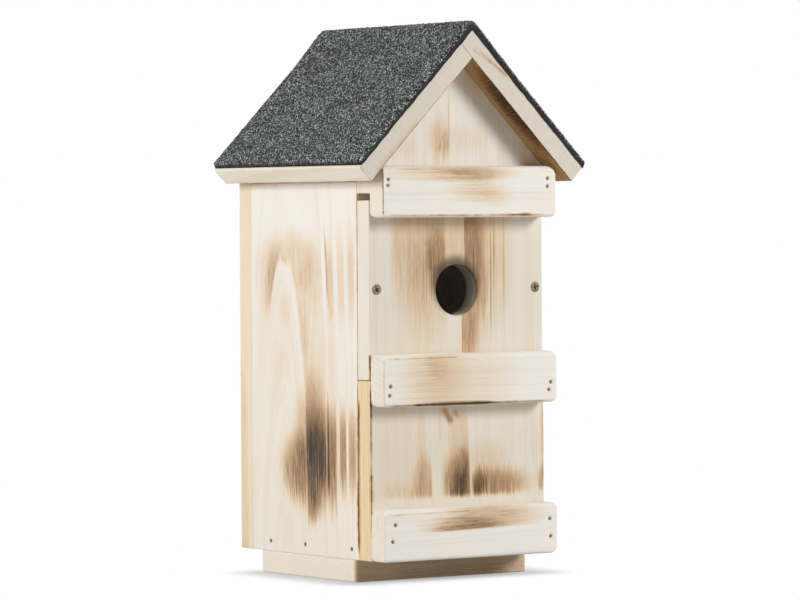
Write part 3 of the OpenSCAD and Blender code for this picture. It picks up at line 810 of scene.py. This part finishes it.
panel_scorches = [
    ((-27, 214), (56, 60), 0.2, (-49, -8.2, 7, 1.2)),
    ((-22, 180), (26, 52), 0.11, (-49, -8.2, 7, 3)),
    ((-15, 201), (12, 28), 0.26, (-40, -8.2, 6, 1.2)),
    ((0, 208), (24, 36), 0.17, (-8.4, 6, 1.2, 0.6)),
    ((9, 212), (18, 44), 0.42, (6, 60, 0.6, 8)),
    ((26, 204), (24, 60), 0.13),
    ((18, 184), (9, 28), 0.2),
    ((8.5, 156), (11, 32), 0.36, (3.6, 60, 0.6, 8)),
    ((18, 160), (12, 34), 0.08),
    ((26.2, 190), (1, 60), 0.22),
    ((28.8, 200), (0.9, 50), 0.2),
    ((36.4, 196), (1, 56), 0.14),
]
panel_wood = wood("front_panel_wood", (X, Y, Z), PANEL_Y, (95.0, 24.0), (-0.01, 0.0), ring=2.8, paint=FRONT_WHITEWASH,
                  lines=0.07, scorches=panel_scorches,
                  # Painted shadow of the middle slat on the panel's left edge, just above the joint.
                  burns=[((-HALF_W, PANEL_Y, 124), (-HALF_W, PANEL_Y, 142), 1.6, 0.7)],
                  # Where this ring reaches into the entrance, the wall turns a dark olive.
                  soot_and_shade=[(-1, HOLE_Z + 3.4, 14, 21.5, 0.8)], seed=8.0)
panel_loop = rectangle(-HALF_W, PANEL_LOW, HALF_W, PANEL_TOP)
entrance_rows = ((0.55, 0.0), (0.25, 0.12), (0.05, 0.4), (0.0, 0.8), (0.0, 4.0), (0.0, 8.0), (0.0, 12.0),
                 (0.4, PANEL_T))
panel_holes = [([(circle((0, HOLE_Z), HOLE_R + more, 72), depth) for more, depth in entrance_rows], None)]
for side in (-1, 1):
    screw_rows = ((3.5, 0.0), (3.4, 0.12), (1.85, 1.65), (1.85, PANEL_T))
    panel_holes.append(([(circle((side * SCREW_X, SCREW_Z), r), depth) for r, depth in screw_rows], None))
panel_block = block(panel_loop, eased(panel_loop, PANEL_T, 0.5, 0.4, seed=14.0), panel_holes)
piece("front_panel_boarding", [stand(panel_block, (0, PANEL_Y, 0), X, Z, Y)], panel_wood, "front",
      "front_panel")

# Slats.
# Three pine laths across the front, their edges rounded over with a router and their ends trimmed with
# rounded corners. Four nails hold each one, punched slightly below the surface.
SLAT_Y, SLAT_T, SLAT_H = -79.5, 14.0, 32.0
Slat = namedtuple("Slat", "low nails pith_up lean streaks corners scorches burns")
SLATS = {
    "upper": Slat(226.1, ((-62, 23.5), (-62.2, 19.8), (60, 24.3), (59.9, 19.2)), 40.0, 0.0, 1.0,
                  (3.5, 3.0, 5.5, 3.0), [
        ((27, -14), (7, 62), 0.2),
        ((27.5, 4), (7, 40), 0.16),
        ((17, 6), (11, 30), 0.14),
        ((12, 18), (8, 20), 0.08),
    ], [
        ((-65.9, -79.2, 1), (-65.9, -79.2, 31), 0.6, 0.9),
        ((-66, -79, 29.5), (-20, -79, 29.8), 0.8, 0.22),
        ((-64, -79.2, 1.2), (60, -79.2, 1.4), 1, 0.45),
        ((14, -79.2, 1.4), (48, -79.2, 1.8), 1.2, 0.35),
    ]),
    "middle": Slat(109.5, ((-61.1, 12.8), (-61.8, 7.2), (61.8, 12.6), (60.3, 7.8)), -30.0, 0.0, 0.4,
                   (3.5, 3.0, 3.2, 3.5), [
        ((15, -28), (44, 32), 0.1),
        ((14, -8), (42, 56), 0.1),
        ((23, -27), (10, 12), 0.09),
        ((0.6, -10), (2.8, 40), 0.4),
    ], [
        ((-65.9, -79.2, 2), (-65.9, -79.2, 30), 0.8, 0.22),
        ((-65, -79, 29.5), (-8, -79, 29.8), 0.9, 0.36),
        ((-66, -79, 0.8), (62, -79, 0.8), 1.2, 0.5),
        ((-44, -78.8, 0.6), (18, -78.8, 0.6), 2.2, 0.5),
    ]),
    "lower": Slat(14.0, ((-58.1, 23), (-60.2, 12.8), (60.5, 22), (61.2, 10.8)), 30.0, 0.033, 1.0,
                  (2.5, 4.0, 3.0, 3.5), [
        ((25, 14), (15, 52), 0.28, (17.9, 60, 0.7, 1)),
        ((20, -2), (8, 34), 0.3, (17.9, 60, 0.7, 1)),
        ((22, -28), (5, 20), 0.1, (17.5, 60, 0.7, 1)),
    ], [
        ((-65.9, -79.2, 2), (-65.9, -79.2, 30), 0.7, 0.14),
        ((-66, -79, 29), (0, -79, 29.4), 0.9, 0.34),
    ]),
}
SLAT_BARE = (X, 0.8, tone(236, 228, 214), tone(222, 209, 188))

for number, (name, slat) in enumerate(SLATS.items()):
    scorches = [((slat.low + x, y), reach, darkening,
                 *((slat.low + x0, slat.low + x1, *soft) for x0, x1, *soft in cut))
                for (x, y), reach, darkening, *cut in slat.scorches]
    burns = [((a[0], a[1], slat.low + a[2]), (b[0], b[1], slat.low + b[2]), reach, darkening)
             for a, b, reach, darkening in slat.burns]
    slat_wood = wood(name + "_slat_wood", (Z, Y, X), SLAT_Y, (slat.low + slat.pith_up, 22.0),
                     (slat.lean, 0.0), ring=3.0, paint=tone(250, 246, 239), lines=0.05, cream=0.15,
                     # The spots are painted shade in the dents round the nail heads.
                     scorches=scorches, spots=[(slat.low + z, x, 1.1, 1.8, 0.15) for x, z in slat.nails],
                     burns=burns, bare=SLAT_BARE, streaks=slat.streaks, seed=10.0 + number)
    slat_loop = rectangle(-HALF_W, 0, HALF_W, SLAT_H, slat.corners)
    inward = inset(slat_loop, 1.0) - slat_loop
    inward = inward[:, 1] / np.linalg.norm(inward, axis=1)
    rounding = 0.7 + np.where(inward < 0, 2.3, 1.3) * np.abs(inward)
    rows = eased(slat_loop, SLAT_T, rounding, rounding, wear=0.25, seed=20.0 + number, corner=3.0, step=3.0)
    lath = block(slat_loop, rows, dents=[(*nail, *NAIL_DENT) for nail in slat.nails], step=3.0)
    piece(name + "_slat_lath", [stand(lath, (0, SLAT_Y, slat.low), X, Z, Y)], slat_wood, "case",
          name + "_slat")

# Roof boards.
# Two pine boards at right angles. The left one butts under the right one at the ridge, and both are nailed to
# the gable board and the back panel. Their grain runs from front to back, so their fronts show end grain.
ROOF_T, ROOF_Y, ROOF_L, SLOPE, HALF = 12.5, -82.5, 165.0, 121.0, math.sqrt(0.5)
RIDGE_Z = RIDGE_UNDER + ROOF_T / HALF
EAVE_X, EAVE_Z = SLOPE * HALF, RIDGE_Z - SLOPE * HALF
EAVE_IN, EAVE_LOW = EAVE_X - ROOF_T * HALF, EAVE_Z - ROOF_T * HALF
ROOF_BARE = (Y, 0.9, tone(224, 216, 204), tone(218, 208, 193))

# The first line on each side darkens the front's lower arris where the roof board meets the gable board: a
# painted joint shadow.
rakes = {side: [((side * (RIDGE_UNDER - 236), ROOF_Y, 236), (side * 10, ROOF_Y, RIDGE_UNDER - 10), 0.9, 0.6)]
         for side in (-1, 1)}
rakes[1] += [((0, ROOF_Y, 332), (30, ROOF_Y, 312), 3.2, 0.12),
             ((0, ROOF_Y, 330.5), (15, ROOF_Y, 321.5), 1.2, 0.2),
             ((6, ROOF_Y, 329), (27, ROOF_Y, 313.5), 1.3, 0.22)]
# The second line darkens the left board's lower arris under the eave along its length.
rakes[-1] += [((-EAVE_X, ROOF_Y, EAVE_Z), (-EAVE_IN, ROOF_Y, EAVE_LOW), 0.65, 0.4),
              ((-EAVE_IN, ROOF_Y, EAVE_LOW), (-EAVE_IN, 70, EAVE_LOW), 0.9, 0.7),
              ((-74, ROOF_Y, 251), (-40, ROOF_Y, 285), 5, 0.17)]
ridge_at = -RIDGE_Z * HALF
soffit = [((ridge_at + 56, -79), (50, 16), 0.55), ((ridge_at + 58, -80), (44, 10), 0.3),
          ((ridge_at + 98, -79), (34, 14), 0.2), ((ridge_at + 24, -80), (16, 9), 0.1),
          ((ridge_at + 66, -82.4), (70, 1.7), 0.5)]
for side, name in ((-1, "left"), (1, "right")):
    down, out = np.array([side * HALF, -HALF]), np.array([side * HALF, HALF])
    start = 0.0 if side > 0 else ROOF_T
    corners = [(0, RIDGE_Z) + down * x + out * y
               for x, y in ((start, 0), (start, -ROOF_T), (SLOPE, -ROOF_T), (SLOPE, 0))]
    roof_loop = outline(corners if side > 0 else corners[::-1])
    roof_block = block(roof_loop, eased(roof_loop, ROOF_L, 0.5, 0.5, seed=16.0 + side, step=5.0))
    roof_wood = wood(name + "_roof_wood", ((side * HALF, 0.0, -HALF), (side * HALF, 0.0, HALF), Y),
                     RIDGE_Z * HALF, (60.0, 34.0 * side), (0.02, 0.01), ring=3.6, paint=tone(247, 241, 229),
                     lines=0.12, cream=0.3, burns=rakes[side], bare=ROOF_BARE, under=soffit,
                     ends=(-90.0, -69.6, 0.8), seed=15.0 + side)
    piece(name + "_roof_boarding", [stand(roof_block, (0, ROOF_Y, 0), X, Z, Y)], roof_wood, "case",
          name + "_roof_board")

# Roofing felt.
# One sheet of bitumen felt with slate granules, folded over the ridge, where it stands off the boards a
# little, and nailed down. It was cut with a knife, so its edges wander. Its granules stand in its own mesh.
FELT_T, FELT_STEP, GRANULE, CELLS_PER_METRE = 3.5, 0.6, 0.9, 1120.0
RIDGE_LOFT, LOFT_REACH = 1.3, 24.0
FELT_ENDS = {-1: (118.3, 119.4), 1: (120.2, 121.4)}
FELT_SHADES = ((0.1, tone(36, 34, 33)), (0.35, tone(91, 97, 97)), (0.6, tone(146, 154, 153)))


def felt_material():
    """Dark bitumen with granules: grit says how much of a granule shows, and each has its own shade."""
    material = bpy.data.materials.new("felt_granules")
    nodes = Graph(material)
    grit = nodes.add("Attribute", attribute_name="grit").outputs["Fac"]
    place = nodes.add("TexCoord").outputs["Object"]
    cells = nodes.add("TexVoronoi", {"Vector": place, "Scale": CELLS_PER_METRE}).outputs
    own = nodes.add("SeparateColor", {0: cells["Color"]}).outputs[0]
    own = nodes.times(nodes.scaled(own, 2.0, -0.2), nodes.span(cells["Distance"], 0.85, 0.3))
    shown = nodes.clamped(nodes.times(grit, own))
    colour = nodes.ramp(shown, tone(27, 21, 19), tone(214, 221, 219), FELT_SHADES)
    nodes.surface(colour, 0.8, nodes.minus(1.0, cells["Distance"]), 0.6, 0.0004, specular=0.3)
    return material


def felt_section():
    """Loop of the felt across the ridge, seen from the front, and how many of its points are on its top."""
    tops, unders = {}, {}
    for side, (top_end, under_end) in FELT_ENDS.items():
        tops[side] = [(side * (x + FELT_T) * HALF, (FELT_T - x) * HALF) for x in np.linspace(0, top_end, 200)]
        unders[side] = [(side * x * HALF, -x * HALF) for x in np.linspace(under_end, 4.0, 30)]
    fold = [(FELT_T * math.sin(a), FELT_T * math.cos(a)) for a in np.radians(np.arange(-36, 37, 9))]
    top = tops[1][::-1] + fold[::-1] + tops[-1]
    return np.array(top + unders[-1] + [(0.0, 0.0)] + unders[1][::-1]) + [0, RIDGE_Z], len(top)


def felt_solid():
    """The felt as points and faces, with the grit of each ring point."""
    loop, top_count = felt_section()
    lean = np.clip(loop[:, 0] / (FELT_T * HALF), -1, 1) * HALF
    outwards = np.column_stack([lean, np.sqrt(1 - lean ** 2)])
    path_at = np.concatenate([[0], np.cumsum(np.linalg.norm(np.diff(loop, axis=0), axis=1))])
    ridge_gap = np.abs(path_at[:top_count] - path_at[top_count // 2])
    rng = np.random.default_rng(7)
    pitch = GRANULE * 1.2
    grains = np.stack(np.meshgrid(np.arange(-1, path_at[top_count - 1] + 1, pitch),
                                  np.arange(-1, ROOF_L + 1, pitch)), -1).reshape(-1, 2)
    grains += rng.uniform(-0.55, 0.55, grains.shape) * GRANULE
    shades, heights = rng.uniform(0.35, 1.0, len(grains)), rng.uniform(0.3, 0.85, len(grains))
    finder = finder_of(grains)
    loft = RIDGE_LOFT * np.exp(-(ridge_gap / LOFT_REACH) ** 2)
    loose = np.interp(loop[:top_count, 0], [-20.0, 20.0], [0.3, 1.1]) + loft
    wanders = [np.abs([noise.noise(Vector((s * 0.12, shift, 0.5))) for s in path_at]) for shift in (3.0, 9.0)]
    near_end = np.array([-0.6, -0.6, -0.5, -0.25, 0.05, 0.4, 0.9, 1.5, 2.2])
    felt, rings, grit = Solid(), [], []
    for y in np.concatenate([near_end, np.arange(2.8, ROOF_L - 2.5, FELT_STEP), ROOF_L - near_end[::-1]]):
        wander, inwards = (wanders[0], 1) if y < ROOF_L / 2 else (wanders[1], -1)
        end_gap = min(y, ROOF_L - y) + 0.6
        rounding = 2.0 * (1 - min(1.0, end_gap / 2.6)) ** 2
        lifts = -1.3 * wander if end_gap < 0.2 else np.zeros(len(loop))
        shade = np.zeros(len(loop))
        for i in range(top_count):
            (_, nearest, gap), (_, _, next_gap) = finder.find_n((path_at[i], y, 0.0), 2)
            dome = min(1.0, (next_gap - gap) / GRANULE) ** 0.5 * max(0.0, 1 - (gap / (1.7 * GRANULE)) ** 2)
            lifts[i] = (loose[i] + 0.4 * y / ROOF_L - 0.35 - rounding
                        + heights[nearest] * dome * min(1.0, 0.4 + end_gap))
            shade[i] = shades[nearest] * min(1.0, 0.3 + 1.4 * dome) if end_gap > 0.2 else 0.25
        ends = 0.6 * wander * max(0.0, 1 - end_gap / 3.0)
        rings.append(felt.ring(loop + outwards * lifts[:, None], y + inwards * ends))
        grit.append(shade)
    for near, far in zip(rings, rings[1:]):
        felt.wall(near, far)
    felt.cap(rings[0], [], -0.5, True, 3.0)
    felt.cap(rings[-1], [], ROOF_L + 0.5, False, 3.0)
    return (np.array(felt.points, float), felt.faces), np.concatenate(grit)


felt, grit = felt_solid()
felt_piece = piece("felt_sheet", [stand(felt, (0, ROOF_Y, 0), X, Z, Y)], felt_material(), "case",
                   "roofing_felt", bend=180.0)
values = np.zeros(len(felt_piece.data.vertices), np.float32)
values[:len(grit)] = grit
felt_piece.data.attributes.new("grit", "FLOAT", "POINT").data.foreach_set("value", values)

# Nails.
# Bright wire nails with small heads, punched in by hand. The heads that show have dulled.
NAIL_SUNK, NAIL_R = 0.1, 1.2
NAIL_ROWS = [(0.5, 0.0), (0.2, 0.05), (0.05, 0.2), (0.0, 0.4), (0.0, 0.85), (0.3, 1.2)]
NAIL_ROWS += [(0.3, depth) for depth in (8.0, 16.0, 24.0, 32.0, 37.5)] + [(0.8, 38.9), (1.13, 39.6)]


def metal(name, colour, rough, dull=0.25, scale=900.0):
    """Dull steel with fine scratches and darker patches."""
    material = bpy.data.materials.new(name)
    nodes = Graph(material)
    patch = nodes.add("TexNoise", {"Vector": nodes.add("TexCoord").outputs["Object"], "Scale": scale,
                                   "Detail": 4.0}).outputs["Fac"]
    dark = tuple(c * (1 - dull * 2) for c in colour)
    patchy = nodes.blend(nodes.span(patch, 0.35, 0.7), dark, colour)
    nodes.surface(patchy, nodes.scaled(patch, 0.3, rough - 0.15), patch, 0.3, 0.0001, metallic=1.0)
    return material


def nail(head, across, up, into):
    """One nail, given the place on the wood's surface over the middle of its head."""
    head = np.array(head, float) + np.array(into) * NAIL_SUNK
    return stand(block(circle((0, 0), NAIL_R, 16), NAIL_ROWS, step=3.0), head, across, up, into)


nail_steel = metal("nail_steel", (0.19, 0.16, 0.13), 0.5)
for name, slat in SLATS.items():
    piece(name + "_slat_nailing", [nail((x, SLAT_Y, slat.low + z), X, Z, Y) for x, z in slat.nails],
          nail_steel, "case", name + "_slat_nails")
for side, name in ((-1, "left"), (1, "right")):
    piece(name + "_floor_nailing", [nail((side * HALF_W, y, z), Y, Z, (-side, 0, 0)) for y, z in FLOOR_NAILS],
          nail_steel, "case", name + "_floor_nails")
piece("back_nailing", [nail((x, BACK_Y, z), X, Z, INTO_BACK) for x, z in BACK_NAILS], nail_steel, "case",
      "back_panel_nails")
for name in ("left_roof_nails", "right_roof_nails", "ridge_nails"):
    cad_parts[name].data.materials.clear()
    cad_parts[name].data.materials.append(nail_steel)

# Screws.
# Countersunk cross-head wood screws, zinc-plated. The two in the front panel turn out to free it.
HEAD_R, HEAD_H, THREAD_PITCH, THREAD_DEPTH, CORE_IN = 3.3, 1.7, 1.6, 0.5, 1.55
PANEL_SCREW_L, BASE_SCREW_L, HANGER_SCREW_L = 12.4, 24.0, 11.0


def cross(long, wide):
    """Loop of a cross recess, anticlockwise."""
    a, b = long / 2, wide / 2
    corners = [(b, b), (b, a), (-b, a), (-b, b), (-a, b), (-a, -b),
               (-b, -b), (-b, -a), (b, -a), (b, -b), (a, -b), (a, b)]
    return np.array(corners, float)


def screw(length, head, across, up, into, turned=0.0):
    """Screw with its head's top at a place, a cross recess and a thread down to its blunt end."""
    angle = np.arange(32) * 2 * math.pi / 32
    rows = [(0.5, 0.0), (0.1, 0.03), (0.0, 0.15), (0.0, 0.3), (CORE_IN, HEAD_H)]
    for depth in np.arange(2.0, length - 0.3, 0.25):
        phase = (depth / THREAD_PITCH - angle / (2 * math.pi)) % 1.0
        ridge = np.clip(1 - np.abs(phase - 0.5) * 4, 0, 1)
        rows.append((CORE_IN + THREAD_DEPTH * (1 - ridge) * min(1.0, (depth - HEAD_H) / 1.2), depth))
    rows += [(2.1, length - 0.1), (2.4, length)]
    recess = ([(cross(3.7, 0.95), 0.0), (cross(3.1, 0.75), 0.7), (cross(1.6, 0.6), 1.35)], [])
    spin = np.array([[math.cos(turned), math.sin(turned)], [-math.sin(turned), math.cos(turned)]])
    points, faces = block(circle((0, 0), HEAD_R, 32), rows, [recess], step=0.8)
    points[:, :2] = points[:, :2] @ spin
    return stand((points, faces), head, across, up, into)


screw_steel = metal("screw_steel", (0.24, 0.2, 0.145), 0.42, 0.3)
for side, name, turned in ((-1, "left", 0.45), (1, "right", 0.2)):
    panel_screw = screw(PANEL_SCREW_L, (side * SCREW_X, PANEL_Y, SCREW_Z), X, Z, Y, turned)
    piece(name + "_screw", [panel_screw], screw_steel, name + "_screw", name + "_panel_screw",
          bend=30.0)
piece("base_screwing", [screw(BASE_SCREW_L, (x, y, 0), X, Y, Z, x + y) for x, y in BASE_SCREWS],
      screw_steel, "case", "base_plate_screws", bend=30.0)
hanger_heads = [(0, HANGER_Z + s * HANGER_SCREW_UP) for s in (-1, 1)]
piece("hanger_screwing", [screw(HANGER_SCREW_L, (x, BACK_Y, z), X, Z, INTO_BACK, turned)
                          for (x, z), turned in zip(hanger_heads, (-0.6, 1.4))],
      screw_steel, "case", "hanger_screws", bend=30.0)

# Hanger plate.
# Pressed and galvanised steel plate with a keyhole, let into the back panel flush and held by two screws.
KEY_ROUND_R, KEY_SLOT_R, PLATE_BORE_R = 5.0, 2.5, 1.9

zinc = metal("hanger_zinc", (0.66, 0.68, 0.69), 0.45, 0.12, 260.0)
plate_rows = [(0.35, 0.0), (0.2, 0.0), (0.06, 0.06), (0.0, 0.2), (0.0, 1.3), (0.06, 1.44), (0.2, HANGER_T)]
key_loop = keyhole(KEY_ROUND_R, KEY_SLOT_R)
plate_holes = [([(key_loop, 0.0), (key_loop, HANGER_T)], None)]
plate_holes += [([(circle(head, SEAT_R), 0.0), (circle(head, PLATE_BORE_R), HANGER_T)], None)
                for head in hanger_heads]
plate = block(plate_loop, plate_rows, plate_holes, step=2.5)
piece("hanger_fitting", [stand(plate, (0, BACK_Y, 0), X, Z, INTO_BACK)], zinc, "case", "hanger_plate")
